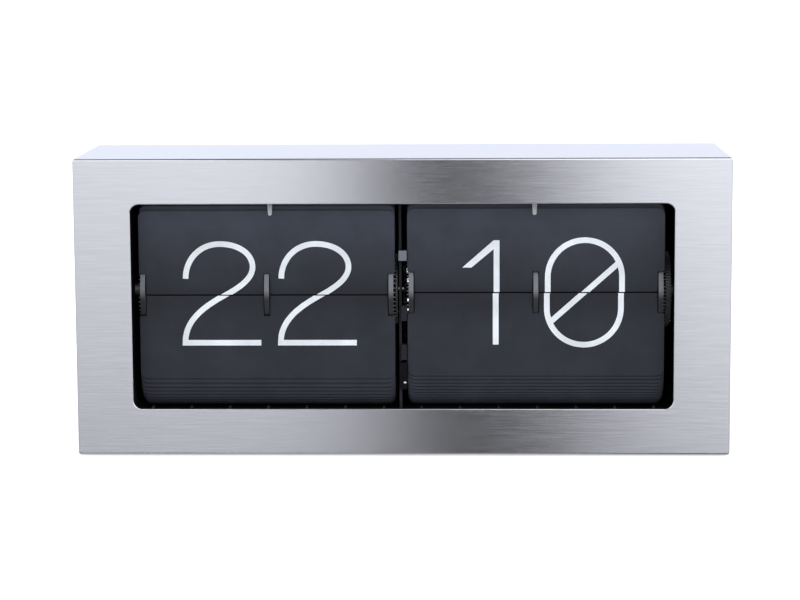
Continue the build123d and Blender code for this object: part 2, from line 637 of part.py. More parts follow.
def movement_train():
    """Output pinion and wheel, second arbor and the stepping rotor."""
    outside = (DRIVE_WHEEL[0] - 0.2, DRIVE_WHEEL[1] + 0.4)
    phase = meshing_phase(DRIVE_TEETH, AXIS, 0, OUTPUT_TEETH, OUTPUT)
    pinion = gear_x(outside, OUTPUT_TEETH, MODULE, OUTPUT, phase, ARBOR_RADIUS / 2)
    nodes["output_arbor"] = pinion + rod_x((outside[0], MOVEMENT[1] - 0.4), ARBOR_RADIUS, *OUTPUT)
    nodes["output_wheel"] = gear_x(
        OUTPUT_STAGE, MOVEMENT_WHEEL_TEETH, FINE_MODULE, OUTPUT, 0, ARBOR_RADIUS
    )

    phase = meshing_phase(MOVEMENT_WHEEL_TEETH, OUTPUT, 0, MOVEMENT_PINION_TEETH, SECOND)
    pinion = gear_x(
        OUTPUT_STAGE, MOVEMENT_PINION_TEETH, FINE_MODULE, SECOND, phase, THIN_ARBOR / 2
    )
    ends = (MOVEMENT[0] + 0.4, MOVEMENT[1] - 0.4)
    nodes["second_arbor"] = pinion + rod_x(ends, THIN_ARBOR, *SECOND)
    nodes["second_wheel"] = gear_x(
        ROTOR_STAGE, MOVEMENT_WHEEL_TEETH, FINE_MODULE, SECOND, 0, THIN_ARBOR
    )

    phase = meshing_phase(MOVEMENT_WHEEL_TEETH, SECOND, 0, MOVEMENT_PINION_TEETH, ROTOR)
    pinion = gear_x(
        ROTOR_STAGE, MOVEMENT_PINION_TEETH, FINE_MODULE, ROTOR, phase, ROTOR_ARBOR / 2
    )
    nodes["rotor_magnet"] = rod_x(MAGNET_X, MAGNET_RADIUS, *ROTOR, bore=ROTOR_ARBOR)
    nodes["rotor_arbor"] = pinion + rod_x(ends, ROTOR_ARBOR, *ROTOR)


def movement_electrics():
    outline = Pos(sum(STATOR_Y) / 2, sum(STATOR_Z) / 2) * Rectangle(
        STATOR_Y[1] - STATOR_Y[0], STATOR_Z[1] - STATOR_Z[0]
    )
    window = Pos(0, LIMB_TOP + 3.0) * Rectangle(24, 6)
    nodes["motor_stator"] = plate_x(
        STATOR_X, outline - window - Pos(*ROTOR) * Circle(MAGNET_RADIUS + 0.5)
    )
    limb = block(*STATOR_X, *STATOR_Y, STATOR_Z[0], LIMB_TOP)
    tube = block(STATOR_X[0] - 0.7, STATOR_X[1] + 0.7, *COIL_Y, STATOR_Z[0] - 0.7, LIMB_TOP + 0.7)
    cheeks = tube
    for y in COIL_Y:
        inward = sorted((y, y - 0.8 if y > 0 else y + 0.8))
        cheeks += block(163.4, 170.6, *inward, STATOR_Z[0] - 2.2, LIMB_TOP + 2.2)
    nodes["coil_bobbin"] = cheeks - limb
    winding = block(163.9, 170.1, COIL_Y[0] + 0.8, COIL_Y[1] - 0.8, 36.1, LIMB_TOP + 1.9)
    nodes["coil_winding"] = fillet(winding.edges().filter_by(Axis.Y), 1.2) - tube

    nodes["circuit_board"] = block(*BOARD_X, *BOARD_Y, *BOARD_Z)
    face = BOARD_Y[1]
    chip = block(163, 169, face, face + 1.4, 66, 72)
    crystal = Pos(166, face + 1.5, 56) * Cylinder(1.5, 8)
    nodes["board_parts"] = group([chip, crystal])


# ---- battery ---------------------------------------------------------------------


def battery():
    box = block(*BOX_X, *BOX_Y, *BOX_Z)
    box -= block(
        BOX_X[0] + BOX_WALL, BOX_X[1] - BOX_WALL, BOX_Y[0] + BOX_WALL, BOX_Y[1] + 1,
        BOX_Z[0] + BOX_WALL, BOX_Z[1] - BOX_WALL,
    )
    nodes["battery_box"] = box
    start = CELL_X - CELL_LENGTH / 2
    cell = rod_x((start, start + CELL_LENGTH), CELL_RADIUS, CELL_Y, CELL_Z)
    cell = fillet(cell.edges(), 0.8)
    cell += rod_x((start + CELL_LENGTH, start + CELL_LENGTH + 1.5), 3.2, CELL_Y, CELL_Z)
    nodes["battery_cell"] = cell

    inner_left = BOX_X[0] + BOX_WALL
    inner_right = BOX_X[1] - BOX_WALL
    nub = start + CELL_LENGTH + 1.5
    plate_y_span = (CELL_Y - CONTACT_HALF[0], CELL_Y + CONTACT_HALF[0])
    plate_z_span = (CELL_Z - CONTACT_HALF[1], CELL_Z + CONTACT_HALF[1])
    spring_y = (CELL_Y - SPRING_HALF, CELL_Y + SPRING_HALF)
    low = CELL_Z - SPRING_HALF
    contact = block(inner_right - CONTACT_THICK, inner_right, *plate_y_span, *plate_z_span)
    contact += block(nub, inner_right - CONTACT_THICK, *spring_y, low, low + CONTACT_THICK)
    contact += block(nub, nub + CONTACT_THICK, *spring_y, low, CELL_Z + SPRING_HALF)
    nodes["positive_contact"] = contact

    contact = block(inner_left, inner_left + CONTACT_THICK, *plate_y_span, *plate_z_span)
    low, high = CELL_Z - 2 * SPRING_HALF, CELL_Z - CONTACT_THICK
    for step in range(3):
        x = inner_left + CONTACT_THICK + step * SPRING_STEP
        y_span = (spring_y[0] + step, spring_y[1] - step)
        bottom = high - CONTACT_THICK if step % 2 else low
        contact += block(x, x + SPRING_STEP, *y_span, bottom, bottom + CONTACT_THICK)
        contact += block(x + SPRING_STEP - CONTACT_THICK, x + SPRING_STEP, *y_span, low, high)
    nodes["negative_contact"] = contact

    door = block(DOOR_X[0] + 0.3, DOOR_X[1] - 0.3, COVER_FRONT + 0.2, COVER_BACK,
                 DOOR_Z[0] + 0.3, DOOR_Z[1] - 0.3)
    door = fillet(door.edges().filter_by(Axis.Y), 1.7)
    for ridge in range(4):
        z = DOOR_Z[1] - 4 - 1.8 * ridge
        door += block(CELL_X - 8, CELL_X + 8, COVER_BACK, COVER_BACK + 0.8, z - 0.45, z + 0.45)
    nodes["battery_door"] = door


def lead_wires():
    """The two insulated leads from the battery box to the movement."""
    wires = []
    for y in WIRE_Y:
        route = [
            (BOX_X[1], y, WIRE_Z),
            (WIRE_TURN_X - 7, y, WIRE_Z),
            (WIRE_TURN_X, y, WIRE_Z + 9),
            (WIRE_TURN_X, y, CASE_Z[0] + CASE_WALL),
        ]
        runs = [(Vector(b) - Vector(a)) for a, b in zip(route, route[1:])]
        radii = []
        for first, second in zip(runs, runs[1:]):
            turn = radians(first.get_angle(second))
            radii.append(BEND_SHARE * min(first.length, second.length) / tan(turn / 2))
        path = FilletPolyline(*route, radius=radii)
        section = Plane(origin=route[0], z_dir=(1, 0, 0)) * Circle(WIRE_RADIUS)
        wire = sweep(section, path=path)
        wires.append(wire)
        print("lead: length", round(path.length, 1), "radii", [round(r, 1) for r in radii])
        print("lead: volume share", round(wire.volume / (pi * WIRE_RADIUS**2 * path.length), 4))
    nodes["lead_wires"] = group(wires)


steel_shell()
shell_lugs()
back_cover()
ribbed_deck()
chassis_plates()
chassis_details()
leaf_pack("hour", HOUR_X, HOUR_LEAVES, HOUR_PHASE, HOUR_HEEL, HOUR_LEAN, HOUR_PLAY)
leaf_pack("minute", MINUTE_X, MINUTE_LEAVES, MINUTE_PHASE, MINUTE_HEEL, MINUTE_LEAN, MINUTE_PLAY)
drum("hour", HOUR_X, HOUR_LEAVES, HOUR_PHASE, HOUR_CORE)
drum("minute", MINUTE_X, MINUTE_LEAVES, MINUTE_PHASE, MINUTE_CORE)
motion_work()
setting_wheel()
movement_case()
movement_train()
movement_electrics()
battery()
lead_wires()

os.makedirs("parts", exist_ok=True)
for name, shape in nodes.items():
    export_step(shape, f"parts/{name}.step")
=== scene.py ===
import json
import math

import bmesh
import bpy
from mathutils import Matrix, Vector

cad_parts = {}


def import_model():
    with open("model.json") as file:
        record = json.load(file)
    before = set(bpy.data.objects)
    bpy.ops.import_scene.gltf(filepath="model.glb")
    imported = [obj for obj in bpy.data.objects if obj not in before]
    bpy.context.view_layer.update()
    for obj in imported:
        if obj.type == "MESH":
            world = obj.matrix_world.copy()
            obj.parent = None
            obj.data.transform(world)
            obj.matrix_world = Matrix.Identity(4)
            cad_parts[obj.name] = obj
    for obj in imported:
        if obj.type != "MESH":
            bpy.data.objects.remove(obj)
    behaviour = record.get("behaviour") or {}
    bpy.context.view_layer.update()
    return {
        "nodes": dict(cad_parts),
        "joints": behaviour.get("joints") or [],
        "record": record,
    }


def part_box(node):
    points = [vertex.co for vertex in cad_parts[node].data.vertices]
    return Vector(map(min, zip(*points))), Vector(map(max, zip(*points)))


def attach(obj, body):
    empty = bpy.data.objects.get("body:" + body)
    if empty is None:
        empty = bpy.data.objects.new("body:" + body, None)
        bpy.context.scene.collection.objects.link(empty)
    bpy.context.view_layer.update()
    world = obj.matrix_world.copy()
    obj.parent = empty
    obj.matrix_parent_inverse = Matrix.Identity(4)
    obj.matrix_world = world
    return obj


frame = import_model()
nodes = frame["nodes"]

MM = 0.001

# Camera, in millimetres and degrees
CAMERA_PLACE = (36.3, -1319.0, 291.5)
CAMERA_PITCH = -6.99
CAMERA_YAW = 1.67
CAMERA_ROLL = -0.328
CAMERA_LENS = 103.0
CAMERA_SHIFT = -0.1
CAMERA_SENSOR = 36.0
CAMERA_FAR = 50.0               # metres

# Numerals, in millimetres: x from the figure's middle, z from the split between the leaves
STROKE = 3.2
INK_THICK = 0.02
INK_LIFT = 0.005
HALF_SHIFT = 0.25               # the upper half is this far to the right, the lower to the left
HALF_GAP = 0.35                 # unprinted margin beside the split
CURVE_STEPS = 18
MITRE_LIMIT = 0.5               # least cosine of half a bend that a stroke's corner allows for
CAP = 29.4
BASE = -27.5
TWO_HOOK = (-20.6, 9.5)
TWO_TOP = (-0.9, CAP)
TWO_RIGHT = (17.7, 16.3)
TWO_SPLIT = (2.1, 0.0)
TWO_FOOT = (-20.8, BASE)
TWO_END = (22.6, BASE)
THREE_START = (-17.5, 19.0)
THREE_TOP = (0.0, CAP)
THREE_UPPER_SIDE = (18.5, 16.0)
THREE_WAIST = (2.0, 1.5)
THREE_LOWER_SIDE = (20.5, -13.5)
THREE_LOW = (0.0, -27.6)
THREE_END = (-19.5, -15.5)
ONE_HALF_STEM = 1.65
ONE_HALF_HEIGHT = (30.0, 29.9)
ONE_FLAG_JOIN = 25.0
ONE_FLAG_TIP = 14.4
ONE_FLAG_REACH = (12.6, 17.8)
ZERO_HALF = (21.0, 30.0)
ZERO_SLASH = (19.0, 16.9)
FIGURE_X = {"hour": (-25.9, 28.7), "minute": (-22.5, 27.5)}

# Search bands for a leaf's ends, in millimetres or as a share of its height
LEAF_END_SHARE = 0.2
LEAF_PAST_BOTTOM = 1.0
LEAF_PAST_TOP = 3.0

# Detail shared by the materials: bump height in metres, noise scale per metre, spreads as shares
NOISE_RANGE = (0.3, 0.7)
TINT_RANGE = (0.35, 0.65)
FINE_BUMP = 0.00003
BROAD_SCALE = 45.0
COLOR_SPREAD = 0.12
PLASTIC_ROUGHNESS_SPREAD = 0.05
METAL_ROUGHNESS_SPREAD = 0.25

# Brushed steel: strokes run along X, and along Y on the case's ends
BRUSH_ALONG = (55.0, 900.0, 2600.0)
BRUSH_SIDEWAYS = (900.0, 55.0, 2600.0)
BRUSH_DETAIL = (5.0, 0.7)
BRUSH_COLORS = ((0.60, 0.605, 0.65), (0.67, 0.675, 0.72))
BRUSH_ROUGHNESS = (0.15, 0.19)
BRUSH_BUMP = (0.25, 0.00004)
FACE_TURN = 0.7                 # a face lies this much towards an axis, as a share

# Discs: start, end and darkest level of the painted shade by surface direction
DISC_PAINTED_SHADE = (-0.12, 0.12, 0.16)

# Leaves: edge rounding in metres, painted shade by direction, and painted shade by height in
# millimetres
LEAF_EDGE = 0.0005
LEAF_EDGE_SAMPLES = 8
LEAF_EDGE_PAINTED_SHADE = (-0.5, -0.05, 0.1)
LEAF_PAINTED_SHADE = (
    (30.0, 0.46), (44.0, 0.36), (60.0, 0.39), (73.0, 0.37), (86.0, 0.28), (93.0, 0.26),
    (97.0, 0.34), (107.0, 0.43), (127.0, 0.64), (136.0, 0.82), (140.0, 1.0),
)

# Studio sky: brightness by azimuth in radians from the front, and by slope (height over distance)
SKY_BAND = (
    (-0.15, 1.12), (-0.09, 1.25), (-0.052, 1.22), (-0.036, 0.58), (-0.023, 0.0),
    (0.012, 0.0), (0.026, 0.15), (0.058, 0.87), (0.10, 1.30),
)
SKY_BAND_SCALE = 2.0            # a Float Curve holds 0 to 1, so its levels are divided by this
SKY_BAND_REACH = 0.2
SKY_BAND_LEAN = 0.13
SKY_BAND_LEVEL = -0.1
SKY_LOW = (-0.36, 0.0)
SKY_HIGH = (0.02, 1.52)
SKY_BELOW = (-1.0, 0.6)
SKY_BELOW_END = (-0.55, 0.0)
SKY_BEHIND = 1.36
SKY_BEHIND_LOW = (-0.1, 0.3)
SKY_BEHIND_HIGH = (0.03, 1.0)
SKY_ZENITH = (0.8, 1.4, 0.18)
SKY_LEAST_DISTANCE = 0.001      # keeps the slope finite straight up and down
SKY_COLORS = ((0.97, 0.98, 1.0), (0.90, 0.94, 1.04))
FLOOR_REACH = 30.0
FLOOR_COLOR = (0.95, 0.95, 0.95)
FLOOR_ROUGHNESS = 0.8
FLOOR_GLOSS = 0.1
FLOOR_GLOW = 0.45

# Softbox above and behind, in metres and watts
SOFTBOX_PLACE = (0.0, 0.4, 1.7)
SOFTBOX_AIM = (0.0, 0.0, 0.1)
SOFTBOX_SIZE = (1.8, 1.4)
SOFTBOX_POWER = 3.0
SOFTBOX_COLOR = (0.94, 0.97, 1.0)


# --------------------------------------------------------------- materials


def new_material(name, color, metallic=0.0, roughness=0.5):
    """A material with its Principled shader, ready for detail nodes."""
    material = bpy.data.materials.new(name)
    material.use_nodes = True
    shader = material.node_tree.nodes["Principled BSDF"]
    shader.inputs["Base Color"].default_value = (*color, 1.0)
    shader.inputs["Metallic"].default_value = metallic
    shader.inputs["Roughness"].default_value = roughness
    return material, shader


def math_node(tree, operation, first, second=None):
    """A Math node, with each input a link or a number."""
    node = tree.nodes.new("ShaderNodeMath")
    node.operation = operation
    for socket, value in zip(node.inputs, (first, second)):
        if isinstance(value, (int, float)):
            socket.default_value = value
        elif value is not None:
            tree.links.new(value, socket)
    return node.outputs["Value"]


def ramp_node(tree, value, start, low, end, high):
    """A value mapped from start and end to low and high, and held beyond them."""
    node = tree.nodes.new("ShaderNodeMapRange")
    sockets = ("From Min", "To Min", "From Max", "To Max")
    for socket, number in zip(sockets, (start, low, end, high)):
        node.inputs[socket].default_value = number
    tree.links.new(value, node.inputs["Value"])
    return node.outputs["Result"]


def noise(material, scale, detail=4.0, roughness=0.6):
    """Noise in the object's own metres, stretched by a scale along each axis."""
    tree = material.node_tree
    place = tree.nodes.new("ShaderNodeTexCoord")
    mapping = tree.nodes.new("ShaderNodeMapping")
    mapping.inputs["Scale"].default_value = scale
    texture = tree.nodes.new("ShaderNodeTexNoise")
    texture.inputs["Scale"].default_value = 1.0
    texture.inputs["Detail"].default_value = detail
    texture.inputs["Roughness"].default_value = roughness
    tree.links.new(place.outputs["Object"], mapping.inputs["Vector"])
    tree.links.new(mapping.outputs["Vector"], texture.inputs["Vector"])
    return texture.outputs["Fac"]


def remap(material, value, low, high):
    """Noise, over the range that it mostly covers, mapped to low and high."""
    start, end = NOISE_RANGE
    return ramp_node(material.node_tree, value, start, low, end, high)


def bump(material, shader, value, strength, distance):
    """Relief from a value, with its height in metres."""
    node = material.node_tree.nodes.new("ShaderNodeBump")
    node.inputs["Strength"].default_value = strength
    node.inputs["Distance"].default_value = distance
    material.node_tree.links.new(value, node.inputs["Height"])
    material.node_tree.links.new(node.outputs["Normal"], shader.inputs["Normal"])


def tint(material, shader, value, dark, light):
    """Colour varied between two close shades."""
    ramp = material.node_tree.nodes.new("ShaderNodeValToRGB")
    for element, position, color in zip(ramp.color_ramp.elements, TINT_RANGE, (dark, light)):
        element.position = position
        element.color = (*color, 1.0)
    material.node_tree.links.new(value, ramp.inputs["Fac"])
    material.node_tree.links.new(ramp.outputs["Color"], shader.inputs["Base Color"])


def brushed_steel():
    """Sheet steel brushed along its length: reflections spread across the strokes."""
    material, shader = new_material("brushed steel", (0.62, 0.63, 0.65), 1.0)
    tree = material.node_tree
    along = noise(material, BRUSH_ALONG, *BRUSH_DETAIL)
    sideways = noise(material, BRUSH_SIDEWAYS, *BRUSH_DETAIL)
    surface = tree.nodes.new("ShaderNodeNewGeometry")
    split = tree.nodes.new("ShaderNodeSeparateXYZ")
    tree.links.new(surface.outputs["True Normal"], split.inputs["Vector"])
    to_end = math_node(tree, "ABSOLUTE", split.outputs["X"])
    to_top = math_node(tree, "ABSOLUTE", split.outputs["Z"])
    on_end = math_node(tree, "GREATER_THAN", to_end, FACE_TURN)
    level = math_node(tree, "GREATER_THAN", to_top, FACE_TURN)
    kept = math_node(tree, "MULTIPLY", along, math_node(tree, "SUBTRACT", 1.0, on_end))
    strokes = math_node(tree, "ADD", kept, math_node(tree, "MULTIPLY", sideways, on_end))
    tint(material, shader, strokes, *BRUSH_COLORS)
    tree.links.new(remap(material, strokes, *BRUSH_ROUGHNESS), shader.inputs["Roughness"])
    bump(material, shader, strokes, *BRUSH_BUMP)
    shader.inputs["Anisotropic"].default_value = 1.0
    across = tree.nodes.new("ShaderNodeCombineXYZ")
    tree.links.new(level, across.inputs["Y"])
    tree.links.new(math_node(tree, "SUBTRACT", 1.0, level), across.inputs["Z"])
    tree.links.new(across.outputs["Vector"], shader.inputs["Tangent"])
    return material


def moulded(name, color, roughness, grain=1800.0, strength=0.12, gloss=0.5):
    """Moulded plastic or rubber with a fine grain and slight colour change."""
    material, shader = new_material(name, color, 0.0, roughness)
    shader.inputs["Specular IOR Level"].default_value = gloss
    fine = noise(material, (grain, grain, grain), 3.0)
    broad = noise(material, (BROAD_SCALE, BROAD_SCALE, BROAD_SCALE), 3.0)
    dark = tuple((1 - COLOR_SPREAD) * channel for channel in color)
    light = tuple((1 + COLOR_SPREAD) * channel for channel in color)
    tint(material, shader, broad, dark, light)
    spread = PLASTIC_ROUGHNESS_SPREAD
    link = remap(material, broad, roughness - spread, roughness + spread)
    material.node_tree.links.new(link, shader.inputs["Roughness"])
    bump(material, shader, fine, strength, FINE_BUMP)
    return material


def paint_shade_below(material, normal, start, end, darkest):
    """Painted shade: colour dimmed by the surface's direction, full above the end, darkest below
    the start.
    """
    tree = material.node_tree
    split = tree.nodes.new("ShaderNodeSeparateXYZ")
    tree.links.new(normal, split.inputs["Vector"])
    multiply_color(material, ramp_node(tree, split.outputs["Z"], start, darkest, end, 1.0))


def multiply_color(material, factor):
    """The colour that already reaches the shader, times a grey factor of painted shade."""
    tree = material.node_tree
    color = tree.nodes["Principled BSDF"].inputs["Base Color"]
    product = tree.nodes.new("ShaderNodeVectorMath")
    product.operation = "SCALE"
    tree.links.new(color.links[0].from_socket, product.inputs["Vector"])
    tree.links.new(factor, product.inputs["Scale"])
    tree.links.new(product.outputs["Vector"], color)


def disc_look():
    """Grey disc plastic, with painted shade where it faces down."""
    material = moulded("disc plastic", (0.15, 0.158, 0.185), 0.42)
    surface = material.node_tree.nodes.new("ShaderNodeNewGeometry")
    # Painted shade: the disc's colour is dimmed where its surface faces down
    paint_shade_below(material, surface.outputs["Normal"], *DISC_PAINTED_SHADE)
    return material


def leaf_look():
    """Satin leaf with softly rounded edges, with painted shade by height, darkest near its hinge,
    and painted shade where its rounded edges face down.
    """
    material = moulded("leaf plastic", (0.066, 0.075, 0.104), 0.42, gloss=0.25)
    tree = material.node_tree
    rounded = tree.nodes.new("ShaderNodeBevel")
    rounded.samples = LEAF_EDGE_SAMPLES
    rounded.inputs["Radius"].default_value = LEAF_EDGE
    grain = next(node for node in tree.nodes if node.type == "BUMP")
    tree.links.new(rounded.outputs["Normal"], grain.inputs["Normal"])
    # Painted shade by height: the leaf's colour is lighter towards its top and darkest near its
    # hinge
    place = tree.nodes.new("ShaderNodeTexCoord")
    split = tree.nodes.new("ShaderNodeSeparateXYZ")
    tree.links.new(place.outputs["Object"], split.inputs["Vector"])
    bottom, top = LEAF_PAINTED_SHADE[0][0], LEAF_PAINTED_SHADE[-1][0]
    share = ramp_node(tree, split.outputs["Z"], bottom * MM, 0.0, top * MM, 1.0)
    ramp = tree.nodes.new("ShaderNodeValToRGB")
    for height, _ in LEAF_PAINTED_SHADE[1:-1]:
        ramp.color_ramp.elements.new((height - bottom) / (top - bottom))
    for element, (_, level) in zip(ramp.color_ramp.elements, LEAF_PAINTED_SHADE):
        element.color = (level, level, level, 1.0)
    tree.links.new(share, ramp.inputs["Fac"])
    multiply_color(material, ramp.outputs["Color"])
    # Painted shade: the colour darkens where the rounded edges face down, a dark line under each
    # leaf's bottom edge
    paint_shade_below(material, rounded.outputs["Normal"], *LEAF_EDGE_PAINTED_SHADE)
    return material


def metal(name, color, roughness, grain=(700.0, 700.0, 700.0), strength=0.1):
    """Turned or drawn metal with fine marks."""
    material, shader = new_material(name, color, 1.0, roughness)
    marks = noise(material, grain, 4.0)
    spread = METAL_ROUGHNESS_SPREAD * roughness
    link = remap(material, marks, roughness - spread, roughness + spread)
    material.node_tree.links.new(link, shader.inputs["Roughness"])
    bump(material, shader, marks, strength, FINE_BUMP)
    return material


LOOKS = {
    "brushed_steel": brushed_steel(),
    "lug_steel": metal("plain sheet steel", (0.45, 0.45, 0.47), 0.4),
    "back_plastic": moulded("textured back plastic", (0.022, 0.022, 0.024), 0.55, 1200.0, 0.35),
    "chassis_plastic": moulded("chassis plastic", (0.022, 0.023, 0.030), 0.65, gloss=0.1),
    "leaf_plastic": leaf_look(),
    "disc_plastic": disc_look(),
    "gear_plastic": moulded("gear plastic", (0.045, 0.045, 0.048), 0.4),
    "white_plastic": moulded("pale plastic", (0.62, 0.63, 0.66), 0.45),
    "bright_steel": metal("bright steel", (0.68, 0.69, 0.72), 0.2),
    "brass": metal("brass", (0.72, 0.50, 0.22), 0.28),
    "dark_steel": metal("dark steel", (0.22, 0.22, 0.23), 0.42),
    "rubber": moulded("rubber", (0.025, 0.025, 0.025), 0.8, 2500.0, 0.25),
    "cell_jacket": moulded("cell jacket", (0.05, 0.06, 0.08), 0.25),
    "copper": metal("enamelled copper", (0.65, 0.22, 0.08), 0.3, (60.0, 4000.0, 4000.0), 0.5),
    "board": moulded("circuit board", (0.03, 0.12, 0.05), 0.4),
    "wire_jacket": moulded("wire jacket", (0.30, 0.02, 0.02), 0.45),
}

PIN_STEEL = metal("pin steel", (0.20, 0.20, 0.22), 0.5)
FINGER_PLASTIC = moulded("finger plastic", (0.62, 0.64, 0.68), 0.4)

# Nodes whose finish differs from the rest of their slot
SPECIAL = {
    "centre_clip": metal("satin clip", (0.22, 0.235, 0.28), 0.3),
    # The stay is set near black, as dark as the gap between the drums that it stands in
    "centre_stay": metal("near-black stay", (0.012, 0.012, 0.015), 0.45),
    "hour_leaf_pins": PIN_STEEL,
    "minute_leaf_pins": PIN_STEEL,
    "hour_catch_finger": FINGER_PLASTIC,
    "minute_catch_finger": FINGER_PLASTIC,
}

slots = {part["node"]: part["material_slot"] for part in frame["record"]["subparts"]}
for name, node in nodes.items():
    node.data.materials.clear()
    node.data.materials.append(SPECIAL.get(name, LOOKS[slots[name]]))

INK = moulded("numeral ink", (0.89, 0.94, 1.0), 0.5)


# ----------------------------------------------------------------- numerals


def bezier(start, near_start, near_end, end):
    """Points of a smooth curve, without its last point."""
    points = []
    for k in range(CURVE_STEPS):
        t = k / CURVE_STEPS
        u = 1 - t
        weights = (u**3, 3 * u * u * t, 3 * u * t * t, t**3)
        corners = (start, near_start, near_end, end)
        x, z = (sum(w * c[i] for w, c in zip(weights, corners)) for i in (0, 1))
        points.append((x, z))
    return points


def two():
    """A 2: hook, bowl, an S through the split and a flat base."""
    hook, top, right, split, foot = TWO_HOOK, TWO_TOP, TWO_RIGHT, TWO_SPLIT, TWO_FOOT
    line = bezier(hook, (hook[0], hook[1] + 11.0), (top[0] - 11.5, CAP), top)
    line += bezier(top, (top[0] + 10.8, CAP), (right[0], right[1] + 7.5), right)
    line += bezier(right, (right[0], right[1] - 7.0), (split[0] + 7.5, 4.2), split)
    line += bezier(split, (split[0] - 12.5, -7.0), (foot[0], BASE + 13.0), foot)
    return [strip(line + [foot, TWO_END])]


def three():
    """A 3: two open bowls that meet at the waist."""
    start, top, side, waist = THREE_START, THREE_TOP, THREE_UPPER_SIDE, THREE_WAIST
    low_side, low, end = THREE_LOWER_SIDE, THREE_LOW, THREE_END
    line = bezier(start, (-15.0, 25.0), (-8.0, CAP), top)
    line += bezier(top, (10.0, CAP), (side[0], 24.0), side)
    line += bezier(side, (side[0], 7.0), (11.0, waist[1]), waist)
    line += bezier(waist, (13.0, waist[1]), (low_side[0], -5.0), low_side)
    line += bezier(low_side, (low_side[0], -22.0), (11.0, low[1]), low)
    line += bezier(low, (-9.0, low[1]), (-17.0, -23.0), end)
    return [strip(line + [end])]


def one():
    """A 1: a plain stem and a flag that is cut level."""
    half = ONE_HALF_STEM
    high, low = ONE_HALF_HEIGHT
    stem = [(-half, high), (half, high), (half, -low), (-half, -low)]
    near, far = (-half - reach for reach in ONE_FLAG_REACH)
    flag = [(-half, high), (-half, ONE_FLAG_JOIN), (near, ONE_FLAG_TIP), (far, ONE_FLAG_TIP)]
    return [stem, flag]


def zero():
    """A 0 with straight sides and a slash."""
    side, top = ZERO_HALF
    straight = top - side
    ring = []
    for corner in range(4):
        for k in range(CURVE_STEPS):
            angle = math.radians(90 * (corner + k / CURVE_STEPS))
            shift = straight if corner < 2 else -straight
            ring.append((side * math.cos(angle), shift + side * math.sin(angle)))
        if corner % 2:
            ring.append((-side if corner == 1 else side, shift))
    slash_x, slash_z = ZERO_SLASH
    return [strip(ring, closed=True), strip([(-slash_x, -slash_z), (slash_x, slash_z)])]


def strip(line, closed=False):
    """Outline of a stroke of constant width: one loop, or an outer and an inner loop."""
    left, right = [], []
    count = len(line)
    for k, point in enumerate(line):
        here = Vector(point)
        ways = []
        if k or closed:
            ways.append((here - Vector(line[k - 1])).normalized())
        if k + 1 < count or closed:
            ways.append((Vector(line[(k + 1) % count]) - here).normalized())
        way = sum(ways, Vector((0.0, 0.0))).normalized()
        normal = Vector((-way.y, way.x))
        reach = STROKE / 2 / max(MITRE_LIMIT, way.dot(ways[0]))
        left.append(tuple(here + normal * reach))
        right.append(tuple(here - normal * reach))
    return (left, right) if closed else left + right[::-1]


def add_stroke(mesh, stroke):
    """A flat closed solid along a stroke. A ring is thicker, and hides ends that run into it."""
    looped = isinstance(stroke, tuple)
    thick = INK_THICK if looped else INK_THICK / 2
    if looped:
        pairs = list(zip(*stroke))
    elif len(stroke) == 4:
        pairs = [(stroke[0], stroke[1]), (stroke[3], stroke[2])]
    else:
        half = len(stroke) // 2
        pairs = list(zip(stroke[:half], stroke[half:][::-1]))
    rows = []
    for pair in pairs:
        low = [mesh.verts.new((x, z, 0.0)) for x, z in pair]
        high = [mesh.verts.new((x, z, thick)) for x, z in pair]
        rows.append((low[0], low[1], high[1], high[0]))
    steps = len(rows) if looped else len(rows) - 1
    for k in range(steps):
        here, after = rows[k], rows[(k + 1) % len(rows)]
        for i in range(4):
            j = (i + 1) % 4
            mesh.faces.new((here[i], here[j], after[j], after[i]))
    if not looped:
        mesh.faces.new(rows[0][::-1])
        mesh.faces.new(rows[-1])


def half_number(figures, centers, keep_upper):
    """Upper or lower half of a number as a clean closed mesh, in x, z and lift."""
    mesh = bmesh.new()
    for strokes, center in zip(figures, centers):
        for stroke in strokes:
            loops = stroke if isinstance(stroke, tuple) else (stroke,)
            moved = tuple([(center + x, z) for x, z in loop] for loop in loops)
            add_stroke(mesh, moved if isinstance(stroke, tuple) else moved[0])
    cut = HALF_GAP if keep_upper else -HALF_GAP
    result = bmesh.ops.bisect_plane(
        mesh,
        geom=mesh.verts[:] + mesh.edges[:] + mesh.faces[:],
        plane_co=(0.0, cut, 0.0),
        plane_no=(0.0, 1.0, 0.0),
        clear_inner=keep_upper,
        clear_outer=not keep_upper,
    )
    edges = [part for part in result["geom_cut"] if isinstance(part, bmesh.types.BMEdge)]
    bmesh.ops.edgenet_fill(mesh, edges=edges)
    bmesh.ops.recalc_face_normals(mesh, faces=mesh.faces[:])
    shift = HALF_SHIFT if keep_upper else -HALF_SHIFT
    for vertex in mesh.verts:
        vertex.co.x += shift
    return mesh


def leaf_line(node, low, high, rear):
    """A leaf face seen along X: its y at the split and its change of y with height."""
    pick = max if rear else min
    margin = LEAF_END_SHARE * (high - low)
    points = [vertex.co / MM for vertex in nodes[node].data.vertices]
    lowest, highest = low - LEAF_PAST_BOTTOM, high + LEAF_PAST_TOP
    bottom = pick((p for p in points if lowest < p.z < low + margin), key=lambda p: p.y)
    top = pick((p for p in points if high - margin < p.z < highest), key=lambda p: p.y)
    slope = (top.y - bottom.y) / (top.z - bottom.z)
    return bottom, slope


